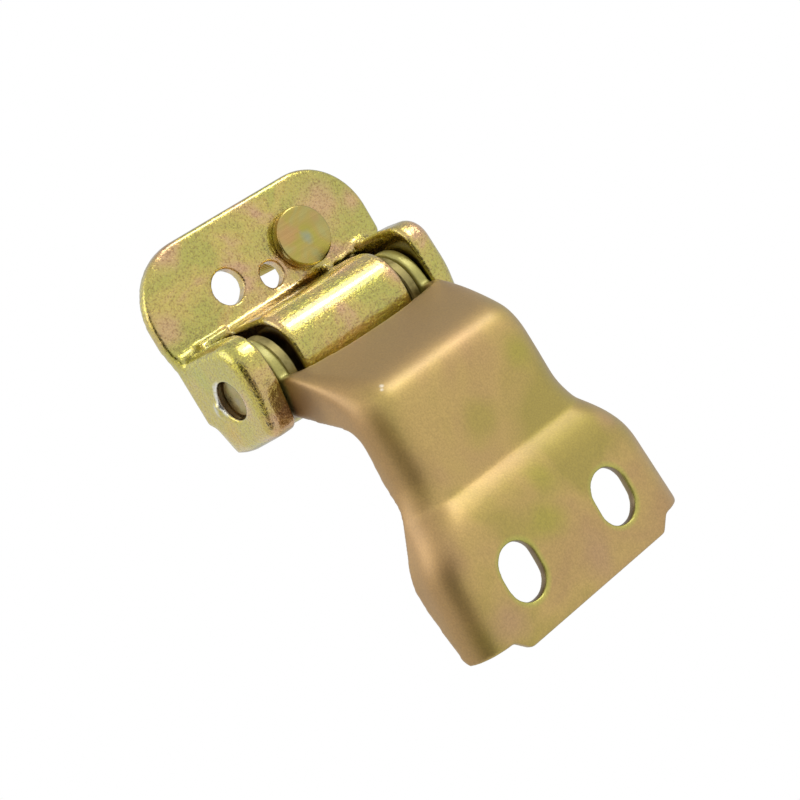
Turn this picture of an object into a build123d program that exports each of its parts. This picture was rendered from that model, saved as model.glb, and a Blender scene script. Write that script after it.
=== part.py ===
from build123d import *
import math
import os

# Car door hinge, closed pose. Millimetres.
# Z runs along the hinge pin, +Z up. The pillar bracket's rear face lies on Y = 0 and faces +Y.
# The origin is the centre of the pillar bolt hole on that face. The door arm reaches towards -X.

# pillar bracket: flat plate
plate_thickness = 3.5
plate_upper_x = 16.2
plate_lower_x = 16.8
plate_upper_z = 23.8
plate_lower_z = -47.8
plate_corner_radius = 17
plate_edge_rounding = 1.4
bolt_hole_diameter = 9.0
locating_hole_diameter = 6.7
locating_hole_x = -3.0
locating_hole_z = -12.6

# pillar bracket: knuckle block that carries the pin
knuckle_middle_z = -10.8
knuckle_half_width = 33.5
ear_inner_half_width = 26.2
barrel_half_width = 18.0
notch_x = -9.8
wall_x = -9.2
lower_ear_wall_x = -7.4
wall_foot_y = -15.5
upper_ear_corner_radius = 8.0
lower_ear_corner_radius = 6.5
barrel_corner_radius = 10.2
knuckle_front_x = -36.6
knuckle_top_y = -28.0
lower_ear_top_y = -27.3
knuckle_foot_x = -26.1
root_rounding = 2.0
rim_start_y = -6.0
ear_rounding = 3.2
barrel_rim_rounding = 1.3
upper_ear_rim_rounding = 0.7
lower_ear_rim_rounding = 1.2
floor_front_y = -4.0
slot_floor_y = -2.0
slot_rear_x = -9.4

# hinge pin and its bushes
pin_x = -22.6
pin_y = -15.5
pin_diameter = 10.0
pin_recess = 2.0
pin_chamfer = 0.5
bush_wall = 1.0
running_clearance = 0.04
bush_flange_diameter = 20.4
bush_flange_thickness = 2.9
spot_face_radius = 10.6
cope_radius = 14.8
cope_half_width = 18.8

# door arm: pressed channel
arm_thickness = 3.5
lug_radius = 10.8
lug_half_width = 25.7
web_edge_x = -23.7
web_edge_height = 32.2
web_edge_bow = 1.8
web_slope = 64.0
crown_height = 55.0
ridge_x = -36.0
ridge_blend = 7.0
inner_blend_share = 0.37
valley_x = -63.6
valley_blend = 0.35
step_radius = 17.0
end_height = 59.5
arm_end_x = -100.8
crown_half_width = 26.5
end_half_width = 34.8
lug_blend_x = -33.0
lug_blend_length = 10.0
flare_x = -54.7
flare_length = 24.5
taper_x = -75.0
taper_blend = 4.0
end_taper = 0.07
lug_edge_radius = 4.0
arm_edge_radius = 9.0
edge_blend_x = -25.0
edge_blend_length = 10.0
tab_half_width = 24.0
flange_end_x = -97.4
tab_side_y = -55.0
flange_bottom = (
    (-97.4, -50.4, 3),
    (-80.0, -45.3, 30),
    (-61.5, -45.9, 8),
    (-56.0, -43.0, 10),
    (-41.4, -44.8, 6),
    (-32.6, -22.0, 6),
)
slot_x = -85.8
slot_half_spacing = 16.2
slot_width = 10.8
slot_length = 14.1

# stud that is pressed into the plate
stud_x = 1.2
stud_z = -24.7
stud_head_diameter = 15.6
stud_head_height = 3.0
stud_neck_diameter = 9.5
stud_thread_diameter = 8.0
stud_length = 22.0


def rounded_face(corners):
    """Face in the XY plane from (x, y, radius) corners; each corner is an arc of its radius."""
    starts = []
    ends = []
    middles = []
    count = len(corners)
    for i in range(count):
        here = Vector(corners[i][0], corners[i][1])
        before = Vector(corners[i - 1][0], corners[i - 1][1])
        after = Vector(corners[(i + 1) % count][0], corners[(i + 1) % count][1])
        radius = corners[i][2]
        back = (before - here).normalized()
        ahead = (after - here).normalized()
        half_angle = math.radians(back.get_angle(ahead)) / 2
        reach = radius / math.tan(half_angle)
        bisector = (back + ahead).normalized()
        starts.append(here + back * reach)
        ends.append(here + ahead * reach)
        middles.append(here + bisector * (radius / math.sin(half_angle) - radius))
    edges = []
    for i in range(count):
        if corners[i][2] > 0:
            edges.append(ThreePointArc(starts[i], middles[i], ends[i]))
        edges.append(Line(ends[i], starts[(i + 1) % count]))
    return make_face(edges)


def along_pin(face, z_low, z_high):
    """Solid from a face in the XY plane, between two heights on the pin axis."""
    return extrude(Pos(0, 0, z_low) * face, z_high - z_low)


def pin_cylinder(radius, z_low, z_high):
    """Solid cylinder about the pin axis."""
    return along_pin(Pos(pin_x, pin_y, 0) * Circle(radius), z_low, z_high)


def across_plate(face, y_low, y_high):
    """Solid from a face drawn as (x, z), between two depths on the Y axis."""
    return extrude(Plane.XZ.offset(-y_high) * face, y_high - y_low)


def both_sides(half_low, half_high):
    """The two height ranges that lie this far above and below the knuckle's middle."""
    upper = (knuckle_middle_z + half_low, knuckle_middle_z + half_high)
    lower = (knuckle_middle_z - half_high, knuckle_middle_z - half_low)
    return (upper, lower)


def plate():
    lower_ear_z = knuckle_middle_z - knuckle_half_width
    upper_ear_z = knuckle_middle_z + knuckle_half_width
    outline = rounded_face([
        (plate_upper_x, plate_upper_z, plate_corner_radius),
        (plate_lower_x, plate_lower_z, plate_corner_radius),
        (notch_x + 2.2, plate_lower_z, 1.5),
        (notch_x - 0.5, lower_ear_z, 1.0),
        (knuckle_foot_x + 1, lower_ear_z, 0),
        (knuckle_foot_x + 1, upper_ear_z, 0),
        (notch_x - 1.5, upper_ear_z, 3.0),
        (notch_x + 5.0, plate_upper_z, 8.0),
    ])
    body = across_plate(outline, -plate_thickness, 0)
    front = body.faces().sort_by(Axis.Y)[0]
    rim = [e for e in front.edges() if e.center().X > notch_x + 2.5]
    return fillet(rim, plate_edge_rounding)


def knuckle_profile(rear_x, corner_radius, top_y):
    """Side view of the knuckle block: foot, toe, front, roof, rear wall and its root in the plate."""
    return rounded_face([
        (rear_x + 3.5, 0, 0),
        (knuckle_foot_x, 0, 0.5),
        (knuckle_foot_x - 2.1, -1.8, 0),
        (knuckle_front_x, -3.0, 3.5),
        (knuckle_front_x + 1.8, -24.6, 3.2),
        (pin_x, top_y, 20),
        (rear_x - 0.7, top_y + 1.0, corner_radius),
        (rear_x, wall_foot_y, 0),
        (rear_x, -plate_thickness, root_rounding),
        (rear_x + 3.5, -plate_thickness, 0),
    ])


def knuckle_block(profile, z_low, z_high, low_rounding, high_rounding):
    """One block of the knuckle between two heights, with the rim of each end face rounded."""
    block = along_pin(profile, z_low, z_high)
    wall_start = block.bounding_box().max.X - 3.5
    for end, radius in ((0, low_rounding), (-1, high_rounding)):
        face = block.faces().sort_by(Axis.Z)[end]
        rim = [e for e in face.edges() if e.center().Y < rim_start_y and e.center().X < wall_start - 0.2]
        block = fillet(rim, radius)
    return block


def knuckle_floor():
    """Full-width floor that joins the two ears and the barrel."""
    low = knuckle_middle_z - knuckle_half_width
    high = knuckle_middle_z + knuckle_half_width
    floor_zone = rounded_face([
        (wall_x + 3.5, 1, 0),
        (knuckle_front_x - 5, 1, 0),
        (knuckle_front_x - 5, floor_front_y, 0),
        (wall_x + 3.5, floor_front_y, 0),
    ])
    return along_pin(knuckle_profile(wall_x, barrel_corner_radius, knuckle_top_y) & floor_zone, low, high)


def pillar_bracket():
    bracket = plate() + knuckle_floor()
    (upper_low, upper_high), (lower_low, lower_high) = both_sides(ear_inner_half_width, knuckle_half_width)
    upper_ear = knuckle_profile(wall_x, upper_ear_corner_radius, knuckle_top_y)
    lower_ear = knuckle_profile(lower_ear_wall_x, lower_ear_corner_radius, lower_ear_top_y)
    barrel = knuckle_profile(wall_x, barrel_corner_radius, knuckle_top_y)
    bracket += knuckle_block(upper_ear, upper_low, upper_high, upper_ear_rim_rounding, ear_rounding)
    bracket += knuckle_block(lower_ear, lower_low, lower_high, ear_rounding, lower_ear_rim_rounding)
    barrel_low = knuckle_middle_z - barrel_half_width
    barrel_high = knuckle_middle_z + barrel_half_width
    bracket += knuckle_block(barrel, barrel_low, barrel_high, barrel_rim_rounding, barrel_rim_rounding)
    pocket = rounded_face([
        (knuckle_front_x - 5, slot_floor_y, 0),
        (slot_rear_x, slot_floor_y, 1.0),
        (slot_rear_x, knuckle_top_y - 5, 0),
        (knuckle_front_x - 5, knuckle_top_y - 5, 0),
    ])
    for low, high in both_sides(barrel_half_width, ear_inner_half_width):
        bracket -= along_pin(pocket, low, high)
    bracket -= pin_cylinder(pin_diameter / 2, -80, 80)
    bracket -= across_plate(Circle(bolt_hole_diameter / 2), -10, 5)
    bracket -= across_plate(Pos(locating_hole_x, locating_hole_z) * Circle(locating_hole_diameter / 2), -10, 5)
    bracket -= across_plate(Pos(stud_x, stud_z) * Circle(stud_neck_diameter / 2), -10, 5)
    return bracket


def soft_least(a, b, blend):
    """Lesser of two heights, with the corner between them rounded."""
    return (a + b - math.hypot(a - b, blend)) / 2


def soft_most(a, b, blend):
    """Greater of two heights, with the corner between them rounded."""
    return (a + b + math.hypot(a - b, blend)) / 2


def soft_step(x, start, length):
    """Smooth rise from 0 to 1 while x falls from the start by the length."""
    t = min(max((start - x) / length, 0), 1)
    return t * t * (3 - 2 * t)


def step_height(x, depth):
    """Height of the round shoulder that climbs out of the valley and runs level to the door end."""
    centre_height = end_height - step_radius
    reach = math.sqrt(step_radius ** 2 - (crown_height - centre_height) ** 2)
    past_top = max(x - (valley_x - reach), 0)
    radius = step_radius - depth
    return centre_height + math.sqrt(max(radius ** 2 - past_top ** 2, 0))


def arm_height(x, depth):
    """Height of the channel's top above the pillar face at x, or of the surface this deep under it."""
    slope = math.radians(web_slope)
    web = web_edge_height + (web_edge_x - x) * math.tan(slope) - depth / math.cos(slope)
    crown = crown_height - depth
    door_side = soft_most(crown, step_height(x, depth), valley_blend + depth)
    return soft_least(web, door_side, ridge_blend - inner_blend_share * depth)


def arm_half_width(x):
    """Half width of the channel at x: straight behind the lugs, then flared towards the door end."""
    crown = (crown_half_width - lug_half_width) * soft_step(x, lug_blend_x, lug_blend_length)
    flare = (end_half_width - crown_half_width) * soft_step(x, flare_x, flare_length)
    widening = end_taper * soft_most(0, taper_x - x, taper_blend)
    return lug_half_width + crown + flare + widening


def arm_edge(x):
    """Radius of the channel's long outer edges at x: tighter where they meet the lugs."""
    return lug_edge_radius + (arm_edge_radius - lug_edge_radius) * soft_step(x, edge_blend_x, edge_blend_length)


def arm_section(x, depth):
    """Cross-section of the channel's outside at x, or of the space this deep inside it."""
    half = arm_half_width(x) - depth
    top = -arm_height(x, depth)
    radius = arm_edge(x) - depth
    turn = radius * (1 - math.sqrt(0.5))

    def at(across, y):
        return Vector(x, y, knuckle_middle_z + across)

    wire = Wire([
        Line(at(-half, 20), at(-half, top + radius)),
        ThreePointArc(at(-half, top + radius), at(-half + turn, top + turn), at(-half + radius, top)),
        Line(at(-half + radius, top), at(half - radius, top)),
        ThreePointArc(at(half - radius, top), at(half - turn, top + turn), at(half, top + radius)),
        Line(at(half, top + radius), at(half, 20)),
        Line(at(half, 20), at(-half, 20)),
    ])
    return Face(wire)


def arm_stations():
    """Places along the arm where its cross-section is drawn, closer together at the ridge and the valley."""
    stations = []
    x = web_edge_x + 6
    while x > arm_end_x - 6:
        stations.append(x)
        at_ridge = ridge_x - 7 < x < ridge_x + 7
        at_valley = valley_x - 12 < x < valley_x + 2
        x -= 0.75 if at_ridge or at_valley else 2.0
    return stations


def arm_form(depth):
    """Solid that fills the channel, or the space this deep inside it, down past its open side."""
    return loft([arm_section(x, depth) for x in arm_stations()], ruled=True)


def arm_side_profile():
    """Side view of the channel: neck, flange bottoms and the leaning flange ends."""
    return rounded_face([
        (web_edge_x, -80, 0),
        (arm_end_x, -80, 0),
        (arm_end_x, tab_side_y, 0),
        (flange_end_x, tab_side_y, 0),
        *flange_bottom,
        (pin_x - 5, pin_y, 0),
        (web_edge_x, pin_y, 0),
    ])


def lug_profile():
    """Side view of one lug and the root of its neck."""
    neck = rounded_face([
        (pin_x, pin_y, 0),
        (pin_x - 9.4, pin_y - 4.2, 0),
        (-33.2, -24.2, 0),
        (-33.8, -27.5, 0),
        (web_edge_x, -27.5, 0),
    ])
    return neck + Pos(pin_x, pin_y) * Circle(lug_radius)


def web_edge_cut():
    """Trims the web's hinge-side edge square to its surface, in a shallow arc that clears the barrel."""
    inner_half = lug_half_width - arm_thickness
    bow_radius = (inner_half ** 2 + web_edge_bow ** 2) / (2 * web_edge_bow)
    centre_x = web_edge_x - web_edge_bow + bow_radius
    disc = across_plate(Pos(centre_x, knuckle_middle_z) * Circle(bow_radius), -30, 30)
    strip = Pos(web_edge_x, 0, knuckle_middle_z) * Box(14, 60, 2 * inner_half)
    cut = Pos(-web_edge_x, 0, 0) * (disc & strip)
    return Pos(web_edge_x, -web_edge_height, 0) * Rot(0, 0, 90 - web_slope) * cut


def flange_end_cuts():
    """Shortens the two flanges behind the flat tab and cuts off the tab's corners."""
    tab_length = flange_end_x - arm_end_x
    corner = rounded_face([
        (arm_end_x - 0.5, tab_half_width - 0.5, 0),
        (flange_end_x, tab_half_width + tab_length, 0),
        (flange_end_x, tab_half_width + 15, 0),
        (arm_end_x - 0.5, tab_half_width + 15, 0),
    ])
    upper_cut = Pos(0, 0, knuckle_middle_z) * across_plate(corner, -64, -30)
    return [upper_cut, upper_cut.mirror(Plane.XY.offset(knuckle_middle_z))]


def door_arm():
    side_view = along_pin(arm_side_profile(), -60, 40)
    arm = (arm_form(0) & side_view) - arm_form(arm_thickness)
    arm -= web_edge_cut()
    arm -= flange_end_cuts()
    for low, high in both_sides(lug_half_width - arm_thickness, lug_half_width):
        arm += along_pin(lug_profile(), low, high)
    arm -= pin_cylinder(pin_diameter / 2 + running_clearance + bush_wall, -60, 40)
    inner_half = lug_half_width - arm_thickness
    arm -= pin_cylinder(spot_face_radius, knuckle_middle_z - inner_half, knuckle_middle_z + inner_half)
    arm -= pin_cylinder(cope_radius, knuckle_middle_z - cope_half_width, knuckle_middle_z + cope_half_width)
    for side in (-1, 1):
        slot = SlotOverall(slot_length, slot_width)
        arm -= across_plate(Pos(slot_x, knuckle_middle_z + side * slot_half_spacing) * slot, -70, -45)
    return arm


def flanged_bush(side):
    """Bush in one lug; its flange keeps the lug off the barrel. The side is +1 above and -1 below."""
    bore = pin_diameter / 2 + running_clearance
    sleeve = Circle(bore + bush_wall) - Circle(bore)
    flange = Circle(bush_flange_diameter / 2) - Circle(bore)
    inner_half = lug_half_width - arm_thickness
    body = Pos(0, 0, inner_half) * extrude(sleeve, arm_thickness)
    body += Pos(0, 0, inner_half - bush_flange_thickness) * extrude(flange, bush_flange_thickness)
    rim = body.edges().filter_by(GeomType.CIRCLE).filter_by(lambda e: e.radius > bush_flange_diameter / 2 - 0.1)
    body = chamfer(rim, 0.4)
    if side < 0:
        body = body.mirror(Plane.XY)
    return Pos(pin_x, pin_y, knuckle_middle_z) * body


def hinge_pin():
    low = knuckle_middle_z - knuckle_half_width + pin_recess
    high = knuckle_middle_z + knuckle_half_width - pin_recess
    pin = pin_cylinder(pin_diameter / 2, low, high)
    return chamfer(pin.edges().filter_by(GeomType.CIRCLE), pin_chamfer)


def pillar_stud():
    """Flat round head on the plate's front, a neck pressed into the plate and a plain-cut shank behind it."""
    front = -plate_thickness
    half_head = stud_head_diameter / 2
    half_neck = stud_neck_diameter / 2
    half_thread = stud_thread_diameter / 2
    outline = Polyline(
        (0, front - stud_head_height),
        (half_head - 0.5, front - stud_head_height),
        (half_head, front - stud_head_height + 0.5),
        (half_head, front),
        (half_neck, front),
        (half_neck, 0),
        (half_thread, 0),
        (half_thread, stud_length - 1.2),
        (half_thread - 1.2, stud_length),
        (0, stud_length),
        close=True,
    )
    return Pos(stud_x, 0, stud_z) * revolve(make_face(outline), Axis.Y)


if __name__ == "__main__":
    os.makedirs("parts", exist_ok=True)
    export_step(pillar_bracket(), "parts/pillar_bracket.step")
    export_step(pillar_stud(), "parts/pillar_stud.step")
    export_step(hinge_pin(), "parts/hinge_pin.step")
    export_step(flanged_bush(1), "parts/upper_flanged_bush.step")
    export_step(flanged_bush(-1), "parts/lower_flanged_bush.step")
    export_step(door_arm(), "parts/door_arm.step")
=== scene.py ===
import bpy
import math
from mathutils import Matrix, Vector


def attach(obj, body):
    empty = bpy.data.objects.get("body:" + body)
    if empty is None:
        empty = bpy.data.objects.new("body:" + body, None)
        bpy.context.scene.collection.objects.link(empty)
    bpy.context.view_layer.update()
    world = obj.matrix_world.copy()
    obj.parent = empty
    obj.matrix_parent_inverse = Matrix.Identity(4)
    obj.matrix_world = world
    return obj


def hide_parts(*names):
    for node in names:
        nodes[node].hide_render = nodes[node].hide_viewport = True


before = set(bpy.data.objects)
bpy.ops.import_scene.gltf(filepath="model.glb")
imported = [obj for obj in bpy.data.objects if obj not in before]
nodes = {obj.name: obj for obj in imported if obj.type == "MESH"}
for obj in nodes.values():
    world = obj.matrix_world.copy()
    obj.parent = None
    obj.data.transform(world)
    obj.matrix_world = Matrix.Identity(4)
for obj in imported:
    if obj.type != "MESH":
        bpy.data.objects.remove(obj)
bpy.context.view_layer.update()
print("frame loaded:", ", ".join(sorted(nodes)))

# the photograph's camera, fitted to the hinge's holes and edges
cameraSetup = {
    "place": (0.010854, -0.378916, 0.220521),
    "right": (-0.503378, -0.527331, -0.684494),
    "down": (-0.854543, 0.186536, 0.484727),
    "forward": (-0.127928, 0.828931, -0.544525),
    "lens": 80.11,
    "sensor": 36.0,
    "nearest": 0.01,
}


def addCamera(setup):
    right = Vector(setup["right"])
    up = -Vector(setup["down"])
    back = -Vector(setup["forward"])
    turn = Matrix((right, up, back)).transposed().to_4x4()
    bpy.ops.object.camera_add()
    camera = bpy.context.object
    camera.name = "photoCamera"
    camera.matrix_world = Matrix.Translation(setup["place"]) @ turn
    camera.data.lens = setup["lens"]
    camera.data.sensor_width = setup["sensor"]
    camera.data.clip_start = setup["nearest"]
    bpy.context.scene.camera = camera


addCamera(cameraSetup)
bpy.context.scene.view_settings.view_transform = "Standard"
print("camera placed")

pinAxis = (-0.0226, -0.0155)    # the hinge pin's X and Y
noTint = (1.0, 1.0, 1.0)


# helpers for material nodes

def startMaterial(name):
    material = bpy.data.materials.new(name)
    material.use_nodes = True
    tree = material.node_tree
    shader = tree.nodes["Principled BSDF"]
    coords = tree.nodes.new("ShaderNodeTexCoord")
    return material, tree, shader, coords.outputs["Object"]


def addNoise(tree, place, scale, detail=2.0, rough=0.5, distortion=0.0):
    noise = tree.nodes.new("ShaderNodeTexNoise")
    noise.inputs["Scale"].default_value = scale
    noise.inputs["Detail"].default_value = detail
    noise.inputs["Roughness"].default_value = rough
    noise.inputs["Distortion"].default_value = distortion
    tree.links.new(place, noise.inputs["Vector"])
    return noise.outputs["Fac"]


def addRamp(tree, factor, stops):
    ramp = tree.nodes.new("ShaderNodeValToRGB")
    elements = ramp.color_ramp.elements
    while len(elements) < len(stops):
        elements.new(0.5)
    for element, (position, colour) in zip(elements, stops):
        element.position = position
        element.color = (*colour, 1.0)
    tree.links.new(factor, ramp.inputs["Fac"])
    return ramp.outputs["Color"]


def addRange(tree, factor, low, high, fromLow=0.3, fromHigh=0.7):
    spread = tree.nodes.new("ShaderNodeMapRange")
    spread.inputs["From Min"].default_value = fromLow
    spread.inputs["From Max"].default_value = fromHigh
    spread.inputs["To Min"].default_value = low
    spread.inputs["To Max"].default_value = high
    tree.links.new(factor, spread.inputs["Value"])
    return spread.outputs["Result"]


def mixColours(tree, factor, first, second, blend="MIX"):
    mix = tree.nodes.new("ShaderNodeMix")
    mix.data_type = "RGBA"
    mix.blend_type = blend
    for value, socket in ((factor, "Factor"), (first, "A"), (second, "B")):
        target = [s for s in mix.inputs if s.name == socket and s.enabled][0]
        if isinstance(value, (int, float)):
            target.default_value = value
        elif isinstance(value, tuple):
            target.default_value = (*value, 1.0)
        else:
            tree.links.new(value, target)
    return [s for s in mix.outputs if s.enabled][0]


def addBump(tree, height, strength, distance, normal=None):
    bump = tree.nodes.new("ShaderNodeBump")
    bump.inputs["Strength"].default_value = strength
    bump.inputs["Distance"].default_value = distance
    tree.links.new(height, bump.inputs["Height"])
    if normal is not None:
        tree.links.new(normal, bump.inputs["Normal"])
    return bump.outputs["Normal"]


def addMath(tree, operation, first, second=None):
    step = tree.nodes.new("ShaderNodeMath")
    step.operation = operation
    for index, value in enumerate((first, second)):
        if isinstance(value, (int, float)):
            step.inputs[index].default_value = value
        elif value is not None:
            tree.links.new(value, step.inputs[index])
    return step.outputs["Value"]


def multiplyAll(tree, first, *others):
    for other in others:
        first = addMath(tree, "MULTIPLY", first, other)
    return first


def addLength(tree, first, second):
    squares = addMath(tree, "ADD", addMath(tree, "MULTIPLY", first, first),
                      addMath(tree, "MULTIPLY", second, second))
    return addMath(tree, "SQRT", squares)


def splitAxes(tree, vector):
    axes = tree.nodes.new("ShaderNodeSeparateXYZ")
    tree.links.new(vector, axes.inputs["Vector"])
    return axes.outputs["X"], axes.outputs["Y"], axes.outputs["Z"]


def facingAxes(tree):
    return splitAxes(tree, tree.nodes["Texture Coordinate"].outputs["Normal"])


# how near a surface point is to a spot, fading from 1 to 0 round the reach;
# a wobble makes the edge of the patch uneven
nearFade = {"inner": 0.55, "outer": 1.25, "wobble": 0.9}


def addNearness(tree, place, spot, reach, wobble):
    offset = tree.nodes.new("ShaderNodeVectorMath")
    offset.operation = "DISTANCE"
    offset.inputs[1].default_value = spot
    tree.links.new(place, offset.inputs[0])
    uneven = tree.nodes.new("ShaderNodeMath")
    uneven.operation = "MULTIPLY_ADD"
    uneven.inputs[1].default_value = reach * nearFade["wobble"]
    tree.links.new(wobble, uneven.inputs[0])
    tree.links.new(offset.outputs["Value"], uneven.inputs[2])
    near = tree.nodes.new("ShaderNodeMapRange")
    near.interpolation_type = "SMOOTHSTEP"
    near.inputs["From Min"].default_value = reach * nearFade["inner"]
    near.inputs["From Max"].default_value = reach * nearFade["outer"]
    near.inputs["To Min"].default_value = 1.0
    near.inputs["To Max"].default_value = 0.0
    tree.links.new(uneven.outputs["Value"], near.inputs["Value"])
    return near.outputs["Result"]


# the film's own cloudy colours
def addPatches(tree, place, look):
    patches = addNoise(tree, place, *look["patchNoise"])
    return addRamp(tree, patches, [(position, look[tint]) for position, tint in look["patchStops"]])


# patches of another colour at known spots: place, reach, colour's name
def addSpots(tree, place, colour, look, spots, share, cloud):
    for spot, reach, tint in spots:
        near = addNearness(tree, place, spot, reach, cloud)
        colour = mixColours(tree, addMath(tree, "MULTIPLY", near, share), colour, look[tint])
    return colour


# offsets from the pin's axis along X and Y, and the distance from it
def fromPinAxis(tree, x, y):
    offsetX = addMath(tree, "SUBTRACT", x, pinAxis[0])
    offsetY = addMath(tree, "SUBTRACT", y, pinAxis[1])
    return offsetX, offsetY, addLength(tree, offsetX, offsetY)


def finishMetal(tree, shader, look, colour, roughness, normal):
    weight, coatRoughness, coatIndex = look["coat"]
    shader.inputs["Metallic"].default_value = 1.0
    shader.inputs["Coat Weight"].default_value = weight
    shader.inputs["Coat Roughness"].default_value = coatRoughness
    shader.inputs["Coat IOR"].default_value = coatIndex
    tree.links.new(colour, shader.inputs["Base Color"])
    tree.links.new(addRange(tree, roughness, *look["roughness"]), shader.inputs["Roughness"])
    tree.links.new(normal, shader.inputs["Normal"])


# In the finishes below a noise is scale, detail, roughness and distortion,
# a mask is the share at two values and then those values, in metres where it is a distance,
# a bump is strength and depth, and a coat is weight, roughness and index.

# door arm: pressed sheet with a satin yellow passivate
armFinish = {
    "olive": (0.43, 0.325, 0.040),
    "tan": (0.56, 0.375, 0.095),
    "brown": (0.50, 0.30, 0.100),
    "pink": (0.51, 0.305, 0.125),
    "lime": (0.43, 0.36, 0.026),
    "pale": (0.66, 0.58, 0.44),
    "patchNoise": (26.0, 3.0, 0.55, 0.5),
    "patchStops": [(0.36, "olive"), (0.49, "tan"), (0.64, "brown")],
    "cloudNoise": (78.0, 2.5),
    "spotShare": 0.85,
    "spots": [
        ((-0.0300, -0.0540, -0.0080), 0.012, "tan"),
        ((-0.0450, -0.0550, 0.0060), 0.013, "tan"),
        ((-0.0458, -0.0550, -0.0280), 0.009, "lime"),
        ((-0.0534, -0.0550, -0.0085), 0.010, "olive"),
        ((-0.0593, -0.0590, 0.0100), 0.008, "pink"),
        ((-0.0600, -0.0595, 0.0260), 0.009, "pink"),
        ((-0.0707, -0.0595, -0.0125), 0.010, "lime"),
        ((-0.0800, -0.0595, -0.0060), 0.010, "lime"),
        ((-0.0923, -0.0595, 0.0151), 0.009, "pink"),
        ((-0.0940, -0.0595, -0.0140), 0.009, "pink"),
        ((-0.0700, -0.0595, -0.0380), 0.008, "pink"),
    ],
    # painted highlight: pale spots at the ridge's corner
    "ridgeHighlightSpots": [
        ((-0.0347, -0.0513, 0.0076), 0.0010, "pale"),
        ((-0.0355, -0.0516, 0.0083), 0.0008, "pale"),
    ],
    # painted shade on the leaning web and on the flange sides
    "webShade": (0.34, 0.20, 0.040),
    "webMask": (0.0, 0.95, 0.45, 0.85),
    "wallShade": (0.36, 0.195, 0.045),
    "wallMask": (0.0, 0.85, 0.45, 0.95),
    # painted shade: a dark patch on the neck by the knuckle
    "neckShade": (0.20, 0.10, 0.012),
    "neckShadeSpots": [((-0.0335, -0.029, 0.0165), 0.0145, "neckShade")],
    "lugTint": (0.42, 0.38, 0.075),
    "lugMask": (1.0, 0.0, 0.0112, 0.0135),
    "slotMiddles": [(-0.0858, 0.0054), (-0.0858, -0.0270)],
    "slotHalfRun": 0.00165,
    "slotRadius": 0.0054,
    # painted highlight: a brighter band round the slot rims
    "rimHighlight": (0.50, 0.50, 0.06),
    "rimMask": (0.8, 0.0, 0.0002, 0.0016),
    # painted shade: dark red-brown on the slot walls
    "slotWall": (0.11, 0.035, 0.008),
    "slotWallMask": (1.0, 0.0, -0.0001, 0.00045),
    "slotFaceMask": (1.0, 0.0, 0.35, 0.75),
    "speckleNoise": (2300.0, 2.5),
    "speckleShades": [(0.3, (0.80, 0.79, 0.74)), (0.7, noTint)],
    "speckleBump": (0.4, 0.00008),
    "roughness": (0.46, 0.56),
    "coat": (0.8, 0.42, 1.75),
}


# distance outside the rim of a slot that runs along X, below zero inside it
def slotDistance(tree, place, middle, look):
    x, _, z = splitAxes(tree, place)
    alongRun = addMath(tree, "ABSOLUTE", addMath(tree, "SUBTRACT", x, middle[0]))
    pastRun = addMath(tree, "SUBTRACT", alongRun, look["slotHalfRun"])
    pastRun = addMath(tree, "MAXIMUM", pastRun, 0.0)
    across = addMath(tree, "SUBTRACT", z, middle[1])
    return addMath(tree, "SUBTRACT", addLength(tree, pastRun, across), look["slotRadius"])


def armMaterial(look):
    material, tree, shader, place = startMaterial("satinYellowZinc")
    colour = addPatches(tree, place, look)
    cloud = addNoise(tree, place, *look["cloudNoise"])
    colour = addSpots(tree, place, colour, look, look["spots"], look["spotShare"], cloud)
    # painted shade: the leaning web and the flange sides are painted browner and darker than the
    # flat faces, by the way they face
    facingX, facingY, facingZ = facingAxes(tree)
    onWeb = addRange(tree, facingX, *look["webMask"])
    colour = mixColours(tree, onWeb, colour, look["webShade"])
    onWall = addRange(tree, addMath(tree, "ABSOLUTE", facingZ), *look["wallMask"])
    colour = mixColours(tree, onWall, colour, look["wallShade"])
    # painted shade darkens the neck by the knuckle
    colour = addSpots(tree, place, colour, look, look["neckShadeSpots"], look["spotShare"], cloud)
    # the lug eyes stayed bright and greenish round the pin
    x, y, _ = splitAxes(tree, place)
    fromPin = fromPinAxis(tree, x, y)[2]
    colour = mixColours(tree, addRange(tree, fromPin, *look["lugMask"]), colour, look["lugTint"])
    # painted highlight on the rims and painted shade on the walls of the two door slots: bright
    # lime rims, dark red-brown walls
    offFace = addRange(tree, addMath(tree, "ABSOLUTE", facingY), *look["slotFaceMask"])
    for middle in look["slotMiddles"]:
        away = slotDistance(tree, place, middle, look)
        onRim = addRange(tree, away, *look["rimMask"])
        colour = mixColours(tree, onRim, colour, look["rimHighlight"])
        inSlot = multiplyAll(tree, addRange(tree, away, *look["slotWallMask"]), offFace)
        colour = mixColours(tree, inSlot, colour, look["slotWall"])
    # painted highlight: pale spots at the ridge's corner
    colour = addSpots(tree, place, colour, look, look["ridgeHighlightSpots"], 1.0, cloud)
    speckle = addNoise(tree, place, *look["speckleNoise"])
    shade = addRamp(tree, speckle, look["speckleShades"])
    colour = mixColours(tree, 1.0, colour, shade, "MULTIPLY")
    normal = addBump(tree, speckle, *look["speckleBump"])
    finishMetal(tree, shader, look, colour, cloud, normal)
    return material


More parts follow.
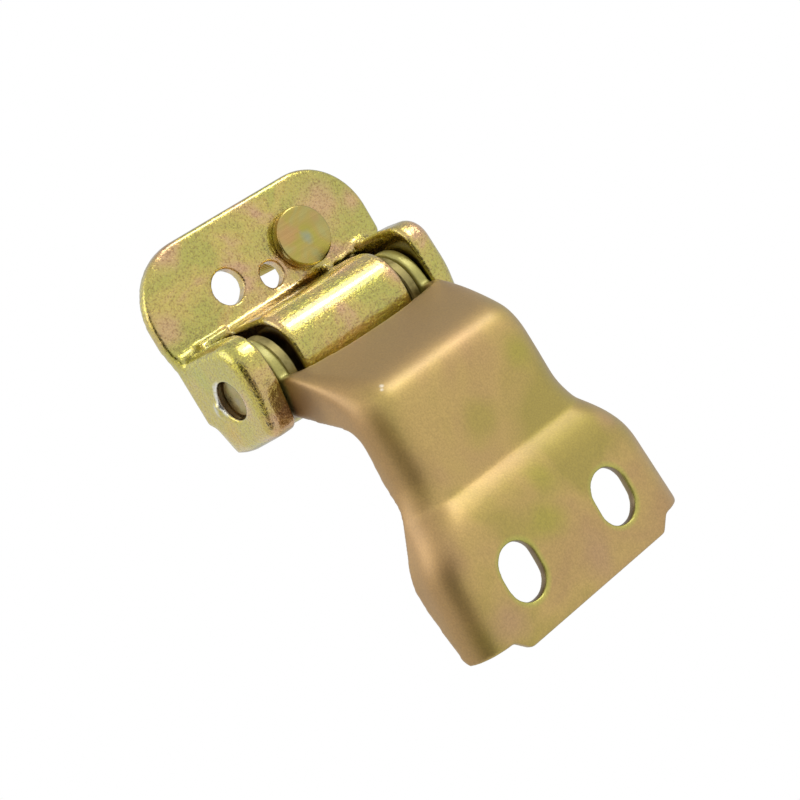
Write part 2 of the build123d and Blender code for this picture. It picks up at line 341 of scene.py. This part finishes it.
# pillar bracket: glossy yellow zinc over a forged, finely dimpled skin
forgedFinish = {
    "green": (0.47, 0.435, 0.070),
    "gold": (0.58, 0.455, 0.095),
    "pink": (0.62, 0.385, 0.18),
    "orange": (0.60, 0.38, 0.020),
    "lime": (0.43, 0.44, 0.030),
    "silver": (0.72, 0.71, 0.66),
    "patchNoise": (48.0, 3.5, 0.6, 0.7),
    "patchStops": [(0.41, "green"), (0.52, "gold"), (0.63, "pink")],
    "cloudNoise": (144.0, 2.5),
    # painted shade: faces turned toward +Z get a darker, less white colour
    "zSideShade": (0.47, 0.41, 0.022),
    "sideMask": (0.0, 0.65, 0.6, 0.95),
    "sideShare": 0.7,
    "sideSpots": [
        ((-0.0302, -0.0085, 0.0227), 0.0065, "orange"),
        ((-0.0150, -0.0095, 0.0227), 0.0060, "lime"),
    ],
    "pinkShare": 0.8,
    "pinkSpots": [
        ((0.0, -0.0035, 0.0), 0.0075, "pink"),
        ((-0.003, -0.0035, -0.0126), 0.0065, "pink"),
        ((0.006, -0.0035, -0.036), 0.011, "pink"),
        ((0.014, -0.0035, 0.012), 0.006, "pink"),
        ((-0.0246, -0.0200, 0.0227), 0.0058, "pink"),
        ((0.0150, -0.0035, 0.0100), 0.0070, "pink"),
        ((-0.0015, -0.0035, 0.0210), 0.0080, "pink"),
        ((0.0030, -0.0035, -0.0440), 0.0060, "pink"),
    ],
    "grainNoise": (1900.0, 3.0, 0.65),
    "grainShades": [(0.34, (0.60, 0.51, 0.40)), (0.50, (0.93, 0.92, 0.90)), (0.64, noTint)],
    "grainBump": (0.6, 0.00020),
    "dimpleNoise": (620.0, 2.0),
    "dimpleBump": (0.5, 0.00055),
    # staking beside the upper pin hole
    "stakeToward": (0.42, 0.91),
    "stakeSector": (0.0, 1.0, 0.45, 0.72),
    "stakeBand": (1.0, 0.0, 0.0061, 0.0070),
    "stakeFace": (0.0, 1.0, 0.0220, 0.0225),
    "stakeWander": 0.0014,
    "scratchNoise": (700.0, 2.0, 0.6),
    "burrTint": (0.50, 0.50, 0.42),
    "burrSpots": [((-0.0231, -0.0084, 0.0230), 0.0017, "burrTint")],
    "boreFilm": (0.15, 0.09, 0.035),
    "boreMask": (1.0, 0.0, 0.00503, 0.0052),
    # slots beside the barrel, painted dark as shade, measured from the knuckle's middle along the
    # pin
    "slotShadeColour": (0.085, 0.038, 0.007),
    "slotMiddleZ": -0.0108,
    "slotStart": (0.0, 1.0, 0.0176, 0.0180),
    "slotEnd": (1.0, 0.0, 0.0261, 0.0264),
    "slotWall": (0.0, 1.0, 0.70, 0.95),
    "slotDepth": (0.0, 1.0, -0.0235, -0.0170),
    "slotBack": (0.0, 1.0, -0.0095, -0.0106),
    "slotFloor": (1.0, 0.0, -0.0019, -0.0016),
    "roughness": (0.12, 0.28),
    "coat": (0.85, 0.12, 1.75),
}


# bare metal where the pin was staked, on one side of the hole and on the ear's face only
def stakedMask(tree, look, offsetX, offsetY, fromPin, z, scratches):
    toward = addMath(tree, "ADD", addMath(tree, "MULTIPLY", offsetX, look["stakeToward"][0]),
                     addMath(tree, "MULTIPLY", offsetY, look["stakeToward"][1]))
    sector = addRange(tree, addMath(tree, "DIVIDE", toward, fromPin), *look["stakeSector"])
    wander = addMath(tree, "MULTIPLY", scratches, look["stakeWander"])
    band = addRange(tree, addMath(tree, "ADD", fromPin, wander), *look["stakeBand"])
    return multiplyAll(tree, sector, band, addRange(tree, z, *look["stakeFace"]))


# painted shade in the deep slots beside the barrel, on their walls and low down
def slotShadeMask(tree, look, x, y, z, facingZ):
    fromMiddle = addMath(tree, "ABSOLUTE", addMath(tree, "SUBTRACT", z, look["slotMiddleZ"]))
    inSlot = addRange(tree, fromMiddle, *look["slotStart"])
    beforeEar = addRange(tree, fromMiddle, *look["slotEnd"])
    onWall = addRange(tree, addMath(tree, "ABSOLUTE", facingZ), *look["slotWall"])
    lowDown = addRange(tree, y, *look["slotDepth"])
    behindLip = addRange(tree, x, *look["slotBack"])
    aboveRear = addRange(tree, y, *look["slotFloor"])
    wallOrLow = addMath(tree, "MAXIMUM", onWall, lowDown)
    return multiplyAll(tree, inSlot, beforeEar, wallOrLow, behindLip, aboveRear)


def forgedMaterial(look):
    material, tree, shader, place = startMaterial("glossyForgedZinc")
    x, y, z = splitAxes(tree, place)
    facingZ = facingAxes(tree)[2]
    colour = addPatches(tree, place, look)
    cloud = addNoise(tree, place, *look["cloudNoise"])
    # painted shade: faces turned toward +Z get a darker, less white colour
    onSide = addRange(tree, facingZ, *look["sideMask"])
    colour = mixColours(tree, onSide, colour, look["zSideShade"])
    colour = addSpots(tree, place, colour, look, look["sideSpots"], look["sideShare"], cloud)
    colour = addSpots(tree, place, colour, look, look["pinkSpots"], look["pinkShare"], cloud)
    grain = addNoise(tree, place, *look["grainNoise"])
    shade = addRamp(tree, grain, look["grainShades"])
    colour = mixColours(tree, 1.0, colour, shade, "MULTIPLY")
    scratches = addNoise(tree, place, *look["scratchNoise"])
    offsetX, offsetY, fromPin = fromPinAxis(tree, x, y)
    staked = stakedMask(tree, look, offsetX, offsetY, fromPin, z, scratches)
    colour = mixColours(tree, staked, colour, look["silver"])
    colour = addSpots(tree, place, colour, look, look["burrSpots"], 1.0, scratches)
    inBore = addRange(tree, fromPin, *look["boreMask"])
    colour = mixColours(tree, inBore, colour, look["boreFilm"])
    # painted shade in the slots beside the barrel
    inSlot = slotShadeMask(tree, look, x, y, z, facingZ)
    colour = mixColours(tree, inSlot, colour, look["slotShadeColour"])
    dimples = addNoise(tree, place, *look["dimpleNoise"])
    normal = addBump(tree, dimples, *look["dimpleBump"])
    normal = addBump(tree, grain, *look["grainBump"], normal)
    finishMetal(tree, shader, look, colour, grain, normal)
    return material


# bushes: dull olive-grey bearing metal, without a coat
bushFinish = {
    "grainNoise": (900.0, 3.0),
    "grainShades": [(0.3, (0.20, 0.165, 0.060)), (0.6, (0.31, 0.265, 0.105))],
    "grainBump": (0.3, 0.00005),
    "roughness": (0.42, 0.58),
    "coat": (0.0, 0.03, 1.5),
}


def bushMaterial(look):
    material, tree, shader, place = startMaterial("dullBushMetal")
    grain = addNoise(tree, place, *look["grainNoise"])
    colour = addRamp(tree, grain, look["grainShades"])
    finishMetal(tree, shader, look, colour, grain, addBump(tree, grain, *look["grainBump"]))
    return material


# stud and pin: turned steel with brushed ends under the same plating
studFinish = {
    "olive": (0.45, 0.39, 0.075),
    "gold": (0.48, 0.37, 0.10),
    "grey": (0.44, 0.40, 0.14),
    "pink": (0.56, 0.32, 0.13),
    "blue": (0.32, 0.37, 0.26),
    "yellow": (0.50, 0.42, 0.07),
    "brown": (0.50, 0.34, 0.12),
    "patchNoise": (130.0, 2.0, 0.5, 0.8),
    "patchStops": [(0.36, "olive"), (0.52, "gold"), (0.66, "grey")],
    "cloudNoise": (390.0, 2.0),
    "spots": [
        ((0.0038, -0.0065, -0.0205), 0.0055, "pink"),
        ((0.0005, -0.0065, -0.0250), 0.0030, "blue"),
        ((-0.0036, -0.0065, -0.0280), 0.0040, "yellow"),
        ((0.0040, -0.0065, -0.0300), 0.0026, "brown"),
    ],
    "brushNoise": (1500.0, 2.0),
    "brushTurn": 40.0,
    "roughness": (0.20, 0.32),
    "coat": (0.4, 0.15, 1.5),
}

pinFinish = {
    "olive": (0.36, 0.31, 0.10),
    "brown": (0.42, 0.33, 0.13),
    "grey": (0.38, 0.36, 0.15),
    "dull": (0.34, 0.30, 0.19),
    "patchNoise": (210.0, 2.0, 0.5, 0.8),
    "patchStops": [(0.36, "olive"), (0.52, "brown"), (0.66, "grey")],
    "cloudNoise": (630.0, 2.0),
    "spots": [((-0.0236, -0.0150, 0.0207), 0.0022, "dull")],
    "brushNoise": (1300.0, 2.0),
    "brushTurn": 20.0,
    "roughness": (0.26, 0.40),
    "coat": (0.4, 0.15, 1.5),
}

brushing = {
    "spotShare": 0.75,
    "stretch": (1.0, 1.0, 0.05),
    "shades": [(0.35, (0.88, 0.87, 0.85)), (0.65, noTint)],
    "bump": (0.25, 0.00004),
}


def brushedMaterial(name, look):
    material, tree, shader, place = startMaterial(name)
    colour = addPatches(tree, place, look)
    cloud = addNoise(tree, place, *look["cloudNoise"])
    colour = addSpots(tree, place, colour, look, look["spots"], brushing["spotShare"], cloud)
    turn = tree.nodes.new("ShaderNodeMapping")
    turn.inputs["Rotation"].default_value = (0.0, math.radians(look["brushTurn"]), 0.0)
    turn.inputs["Scale"].default_value = brushing["stretch"]
    tree.links.new(place, turn.inputs["Vector"])
    lines = addNoise(tree, turn.outputs["Vector"], *look["brushNoise"])
    shade = addRamp(tree, lines, brushing["shades"])
    colour = mixColours(tree, 1.0, colour, shade, "MULTIPLY")
    finishMetal(tree, shader, look, colour, lines, addBump(tree, lines, *brushing["bump"]))
    return material


armZinc = armMaterial(armFinish)
forgedZinc = forgedMaterial(forgedFinish)
bushMetal = bushMaterial(bushFinish)
studZinc = brushedMaterial("brushedStudZinc", studFinish)
pinZinc = brushedMaterial("brushedPinZinc", pinFinish)
print("materials made")


# the nodes that stay as the solids are
def dress(name, material):
    nodes[name].data.materials.clear()
    nodes[name].data.materials.append(material)


dress("hinge_pin", pinZinc)
dress("upper_flanged_bush", bushMetal)
dress("lower_flanged_bush", bushMetal)
print("pin and bushes dressed")


# the pressed arm and the forged bracket: one skin each, with every edge broken
# as plating and pressing leave it
doorArmSkin = {
    "node": "door_arm",
    "body": "door_arm",
    "slot": "arm_plating",
    "voxel": 0.00043,
    "rounds": 21,
    "softPlaces": {},
}

pillarBracketSkin = {
    "node": "pillar_bracket",
    "body": "pillar_bracket",
    "slot": "bracket_plating",
    "voxel": 0.00040,
    "rounds": 8,
    # where the forging is rounder than the solid: place, reach, rounds of smoothing
    "softPlaces": {
        "upperToe": ((-0.0357, -0.0034, 0.0212), 0.0070, 150),
        "upperFoot": ((-0.0305, -0.0022, 0.0224), 0.0050, 90),
        "lowerToe": ((-0.0357, -0.0034, -0.0428), 0.0070, 150),
        "lowerFoot": ((-0.0305, -0.0022, -0.0440), 0.0050, 90),
        "lowerEarRoot": ((-0.0086, -0.0046, -0.0372), 0.0040, 70),
        "upperEarRoot": ((-0.0095, -0.0046, 0.0156), 0.0028, 40),
        "barrelRootLow": ((-0.0088, -0.0046, -0.0285), 0.0042, 90),
        "barrelRootHigh": ((-0.0092, -0.0046, 0.0074), 0.0026, 40),
        "rootCreaseA": ((-0.0090, -0.0046, 0.0020), 0.0042, 60),
        "rootCreaseB": ((-0.0090, -0.0046, -0.0040), 0.0042, 60),
        "rootCreaseC": ((-0.0090, -0.0046, -0.0100), 0.0042, 60),
        "rootCreaseD": ((-0.0090, -0.0046, -0.0160), 0.0042, 60),
        "rootCreaseE": ((-0.0090, -0.0046, -0.0220), 0.0042, 60),
    },
}

# metal raised beside the upper pin hole where the pin was staked
stakeBurr = {
    "middle": (-0.0231, -0.0086, 0.0226),
    "radius": 0.0013,
    "stretch": (1.5, 0.9, 0.65),
    "turn": 35.0,
}

# fillet where the upper ear runs into the plate
earFillet = {"middle": (-0.0092, -0.0047, 0.0122), "size": (0.0026, 0.0038, 0.0092)}

smoothFactor = 0.5
weldDistance = 0.000002    # what merges two points of a mesh


def addBurr(look):
    middle = look["middle"]
    bpy.ops.object.select_all(action="DESELECT")
    bpy.ops.mesh.primitive_ico_sphere_add(subdivisions=3, radius=look["radius"], location=middle)
    burr = bpy.context.object
    bpy.ops.object.mode_set(mode="EDIT")
    bpy.ops.transform.resize(value=look["stretch"], center_override=middle)
    bpy.ops.transform.rotate(value=math.radians(look["turn"]), orient_axis="Z",
                             center_override=middle)
    bpy.ops.object.mode_set(mode="OBJECT")
    bpy.ops.object.transform_apply(location=True, rotation=True, scale=True)
    return burr


def addFillet(look):
    bpy.ops.object.select_all(action="DESELECT")
    bpy.ops.mesh.primitive_cube_add(size=1.0, location=look["middle"])
    fillet = bpy.context.object
    bpy.ops.object.mode_set(mode="EDIT")
    bpy.ops.transform.resize(value=look["size"], center_override=look["middle"])
    bpy.ops.object.mode_set(mode="OBJECT")
    bpy.ops.object.transform_apply(location=True, rotation=True, scale=True)
    return fillet


# smooth one place of a skin, fully within half the reach and less towards it
def softenPlace(skin, name, spot, reach, rounds):
    group = skin.vertex_groups.new(name=name)
    middle = Vector(spot)
    for vertex in skin.data.vertices:
        share = 1.0 - (vertex.co - middle).length / reach
        if share > 0.0:
            group.add([vertex.index], min(1.0, share * 2.0), "REPLACE")
    soften = skin.modifiers.new(name, "SMOOTH")
    soften.factor = smoothFactor
    soften.iterations = rounds
    soften.vertex_group = name
    bpy.ops.object.modifier_apply(modifier=name)
    skin.vertex_groups.remove(skin.vertex_groups[name])


def addSoftSkin(name, look, material, extras=()):
    source = nodes[look["node"]]
    skin = source.copy()
    skin.data = source.data.copy()
    skin.name = name
    bpy.context.collection.objects.link(skin)
    bpy.ops.object.select_all(action="DESELECT")
    skin.select_set(True)
    bpy.context.view_layer.objects.active = skin
    if extras:
        for extra in extras:
            extra.select_set(True)
        bpy.ops.object.join()
    bpy.ops.object.mode_set(mode="EDIT")
    bpy.ops.mesh.select_all(action="SELECT")
    bpy.ops.mesh.remove_doubles(threshold=weldDistance)
    bpy.ops.object.mode_set(mode="OBJECT")
    remesh = skin.modifiers.new("skinMesh", "REMESH")
    remesh.mode = "VOXEL"
    remesh.voxel_size = look["voxel"]
    bpy.ops.object.modifier_apply(modifier=remesh.name)
    relax = skin.modifiers.new("skinRelax", "SMOOTH")
    relax.factor = smoothFactor
    relax.iterations = look["rounds"]
    bpy.ops.object.modifier_apply(modifier=relax.name)
    for placeName, (spot, reach, rounds) in look["softPlaces"].items():
        softenPlace(skin, placeName, spot, reach, rounds)
    bpy.ops.object.shade_smooth()
    skin.data.materials.clear()
    skin.data.materials.append(material)
    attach(skin, look["body"])
    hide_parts(look["node"])
    print(name, len(skin.data.polygons), "faces")


addSoftSkin("doorArmSkin", doorArmSkin, armZinc)
bracketExtras = [addBurr(stakeBurr), addFillet(earFillet)]
addSoftSkin("pillarBracketSkin", pillarBracketSkin, forgedZinc, bracketExtras)
print("skins made")


# stud: flat head with a rounded rim, plain neck in the plate and a rolled thread behind it
threadedStud = {
    "middle": (0.0012, -0.0247),
    "headRadius": 0.0078,
    "headFront": -0.0065,
    "plateFront": -0.0035,
    "rimRounding": 0.0006,
    "rimSegments": 4,
    "neckRadius": 0.00475,
    "overlap": 0.0005,           # how far one turned part runs into the next
    "collarInset": 0.0001,       # how much the collar is under the shank
    "collarPast": 0.0003,        # how far the collar runs into the thread
    "shankRadius": 0.0040,
    "coreRadius": 0.00335,
    "pitch": 0.00125,
    "crest": (0.44, 0.58),       # where the tooth's crest starts and ends, as shares of the pitch
    "threadFrom": 0.0015,
    "trimStart": 0.1,            # share of the pitch cut from the thread's start
    "trimTip": 0.0001,
    "spareTurns": 3,
    "length": 0.022,
    "tipRadius": 0.0029,
    "tipLength": 0.0013,
    "roundSides": 96,
    "stepsPerTurn": 36,
    "smoothAngle": 35.0,
}


# cylinder along Y between two depths
def addRound(look, radius, front, back):
    x, z = look["middle"]
    bpy.ops.object.select_all(action="DESELECT")
    bpy.ops.mesh.primitive_cylinder_add(vertices=look["roundSides"], radius=radius,
                                        depth=back - front, location=(x, (front + back) / 2, z),
                                        rotation=(math.radians(90), 0, 0))
    bpy.ops.object.transform_apply(location=True, rotation=True, scale=True)
    return bpy.context.object


def roundFrontRim(piece, look):
    points = piece.data.vertices
    for edge in piece.data.edges:
        edge.select = all(abs(points[i].co.y - look["headFront"]) < 0.00001 for i in edge.vertices)
    bpy.ops.object.mode_set(mode="EDIT")
    bpy.ops.mesh.select_mode(type="EDGE")
    bpy.ops.mesh.bevel(offset=look["rimRounding"], segments=look["rimSegments"], profile=0.5)
    bpy.ops.object.mode_set(mode="OBJECT")


# one open tooth: root, flank up, crest, flank down; a plane's points run in another order
def addTooth(look):
    pitch = look["pitch"]
    core, shank = look["coreRadius"], look["shankRadius"]
    crestFrom, crestTo = (share * pitch for share in look["crest"])
    bpy.ops.object.select_all(action="DESELECT")
    bpy.ops.mesh.primitive_plane_add(size=0.001)
    tooth = bpy.context.object
    bpy.ops.object.mode_set(mode="EDIT")
    bpy.ops.mesh.delete(type="ONLY_FACE")
    bpy.ops.object.mode_set(mode="OBJECT")
    profile = [(core, 0.0), (shank, crestFrom), (core, pitch), (shank, crestTo)]
    for vertex, (radius, height) in zip(tooth.data.vertices, profile):
        vertex.co = (radius, 0.0, height)
    # the edge from root to root goes, so that the turns join
    for edge in tooth.data.edges:
        edge.select = sorted(edge.vertices) == [0, 2]
    bpy.ops.object.mode_set(mode="EDIT")
    bpy.ops.mesh.select_mode(type="EDGE")
    bpy.ops.mesh.delete(type="EDGE")
    bpy.ops.object.mode_set(mode="OBJECT")
    return tooth


def trimThread(look, depth, outward):
    x, z = look["middle"]
    bpy.ops.object.mode_set(mode="EDIT")
    bpy.ops.mesh.select_all(action="SELECT")
    bpy.ops.mesh.remove_doubles(threshold=weldDistance)
    bpy.ops.mesh.bisect(plane_co=(x, depth, z), plane_no=(0.0, outward, 0.0),
                        use_fill=True, clear_outer=True)
    bpy.ops.object.mode_set(mode="OBJECT")


# the lead-in chamfer at the tip
def chamferTip(thread, look):
    x, z = look["middle"]
    shank = look["shankRadius"]
    for vertex in thread.data.vertices:
        intoTip = (vertex.co.y - (look["length"] - look["tipLength"])) / look["tipLength"]
        if intoTip > 0.0:
            limit = shank + (look["tipRadius"] - shank) * intoTip
            radius = math.hypot(vertex.co.x - x, vertex.co.z - z)
            if radius > limit:
                vertex.co.x = x + (vertex.co.x - x) * limit / radius
                vertex.co.z = z + (vertex.co.z - z) * limit / radius


def addThread(look):
    pitch = look["pitch"]
    thread = addTooth(look)
    screw = thread.modifiers.new("roll", "SCREW")
    screw.angle = math.radians(360)
    screw.screw_offset = pitch
    screw.iterations = int((look["length"] - look["threadFrom"]) / pitch) + look["spareTurns"]
    screw.steps = look["stepsPerTurn"]
    screw.render_steps = look["stepsPerTurn"]
    screw.use_merge_vertices = True
    bpy.ops.object.modifier_apply(modifier=screw.name)
    x, z = look["middle"]
    thread.rotation_euler = (math.radians(-90), 0, 0)
    thread.location = (x, look["threadFrom"] - pitch, z)
    bpy.ops.object.transform_apply(location=True, rotation=True, scale=True)
    # both ends are cut flat, and each cut is closed with a face
    trimThread(look, look["threadFrom"] + pitch * look["trimStart"], -1.0)
    trimThread(look, look["length"] - look["trimTip"], 1.0)
    chamferTip(thread, look)
    bpy.ops.object.mode_set(mode="EDIT")
    bpy.ops.mesh.select_all(action="SELECT")
    bpy.ops.mesh.normals_make_consistent(inside=False)
    bpy.ops.object.mode_set(mode="OBJECT")
    return thread


def addStud(look, material):
    overlap = look["overlap"]
    head = addRound(look, look["headRadius"], look["headFront"], look["plateFront"])
    roundFrontRim(head, look)
    neck = addRound(look, look["neckRadius"], look["plateFront"] - overlap, 0.0)
    collar = addRound(look, look["shankRadius"] - look["collarInset"], -overlap,
                      look["threadFrom"] + look["collarPast"])
    thread = addThread(look)
    tip = addRound(look, look["tipRadius"], look["length"] - look["tipLength"], look["length"])
    bpy.ops.object.select_all(action="DESELECT")
    for piece in (neck, collar, thread, tip, head):
        piece.select_set(True)
    bpy.context.view_layer.objects.active = head
    bpy.ops.object.join()
    stud = bpy.context.object
    stud.name = "threadedStud"
    bpy.ops.object.shade_smooth_by_angle(angle=math.radians(look["smoothAngle"]))
    stud.data.materials.clear()
    stud.data.materials.append(material)
    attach(stud, "pillar_bracket")
    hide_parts("pillar_stud")
    print("threadedStud", len(stud.data.polygons), "faces")


addStud(threadedStud, studZinc)
print("stud made")


# plain studio: white floor and a pale room with one dark side for the metal to reflect
studio = {
    "floorLevel": -0.60,
    "floorSize": 12.0,
    "floorColour": (0.86, 0.86, 0.86, 1.0),
    "floorRoughness": 0.9,
    "floorGlow": (1.0, 0.62),    # what metal sees of the floor, from the near side to the far side
    "floorGlowFrom": (-0.55, 0.45),
    "roomLight": 0.95,
    "darkSide": (-0.10, -0.55, 0.83),
    "darkLight": 0.05,
    "darkWidth": (0.82, 0.94),
}

# as the camera sees them: a broad and a small lamp above the hinge, and one to its left
lampAim = (-0.04, -0.03, -0.01)
lamps = {
    "overheadSoftbox": {"toward": (0.73, -0.41, -0.54), "away": 1.0, "size": 0.62, "watts": 3.4},
    "smallSoftbox": {"toward": (0.74, -0.42, -0.52), "away": 1.0, "size": 0.20, "watts": 0.9},
    "topSoftbox": {"toward": (0.55, 0.35, 0.75), "away": 1.1, "size": 0.8, "watts": 3.0},
}


def addFloor(look):
    bpy.ops.mesh.primitive_plane_add(size=look["floorSize"], location=(0, 0, look["floorLevel"]))
    floor = bpy.context.object
    floor.name = "paleFloor"
    material, tree, shader, place = startMaterial("paleFloorPaint")
    shader.inputs["Base Color"].default_value = look["floorColour"]
    shader.inputs["Roughness"].default_value = look["floorRoughness"]
    lightPath = tree.nodes.new("ShaderNodeLightPath")
    cameraRay = lightPath.outputs["Is Camera Ray"]
    glow = tree.nodes.new("ShaderNodeEmission")
    mix = tree.nodes.new("ShaderNodeMixShader")
    fade = addRange(tree, splitAxes(tree, place)[1], *look["floorGlow"], *look["floorGlowFrom"])
    tree.links.new(addMath(tree, "MAXIMUM", fade, cameraRay), glow.inputs["Strength"])
    shown = addMath(tree, "MAXIMUM", cameraRay, lightPath.outputs["Is Glossy Ray"])
    tree.links.new(shown, mix.inputs["Fac"])
    tree.links.new(shader.outputs["BSDF"], mix.inputs[1])
    tree.links.new(glow.outputs["Emission"], mix.inputs[2])
    tree.links.new(mix.outputs["Shader"], tree.nodes["Material Output"].inputs["Surface"])
    floor.data.materials.append(material)


def addRoom(look):
    world = bpy.data.worlds.new("paleRoom")
    bpy.context.scene.world = world
    world.use_nodes = True
    tree = world.node_tree
    background = tree.nodes["Background"]
    coords = tree.nodes.new("ShaderNodeTexCoord")
    dot = tree.nodes.new("ShaderNodeVectorMath")
    dot.operation = "DOT_PRODUCT"
    dot.inputs[1].default_value = Vector(look["darkSide"]).normalized()
    tree.links.new(coords.outputs["Generated"], dot.inputs[0])
    spread = tree.nodes.new("ShaderNodeMapRange")
    spread.interpolation_type = "SMOOTHSTEP"
    spread.inputs["From Min"].default_value = look["darkWidth"][0]
    spread.inputs["From Max"].default_value = look["darkWidth"][1]
    spread.inputs["To Min"].default_value = look["roomLight"]
    spread.inputs["To Max"].default_value = look["darkLight"]
    tree.links.new(dot.outputs["Value"], spread.inputs["Value"])
    # the camera itself sees plain white
    lightPath = tree.nodes.new("ShaderNodeLightPath")
    seen = tree.nodes.new("ShaderNodeMix")
    tree.links.new(lightPath.outputs["Is Camera Ray"], seen.inputs["Factor"])
    tree.links.new(spread.outputs["Result"], seen.inputs["A"])
    seen.inputs["B"].default_value = 1.0
    tree.links.new(seen.outputs["Result"], background.inputs["Strength"])
    background.inputs["Color"].default_value = (*noTint, 1.0)


def addLamp(name, look):
    toward = Vector(look["toward"]).normalized()
    bpy.ops.object.light_add(type="AREA", location=Vector(lampAim) + toward * look["away"])
    lamp = bpy.context.object
    lamp.name = name
    lamp.rotation_euler = toward.to_track_quat("Z", "Y").to_euler()
    lamp.data.shape = "DISK"
    lamp.data.size = look["size"]
    lamp.data.energy = look["watts"]


addFloor(studio)
addRoom(studio)
for lampName, lampLook in lamps.items():
    addLamp(lampName, lampLook)
print("studio lit")
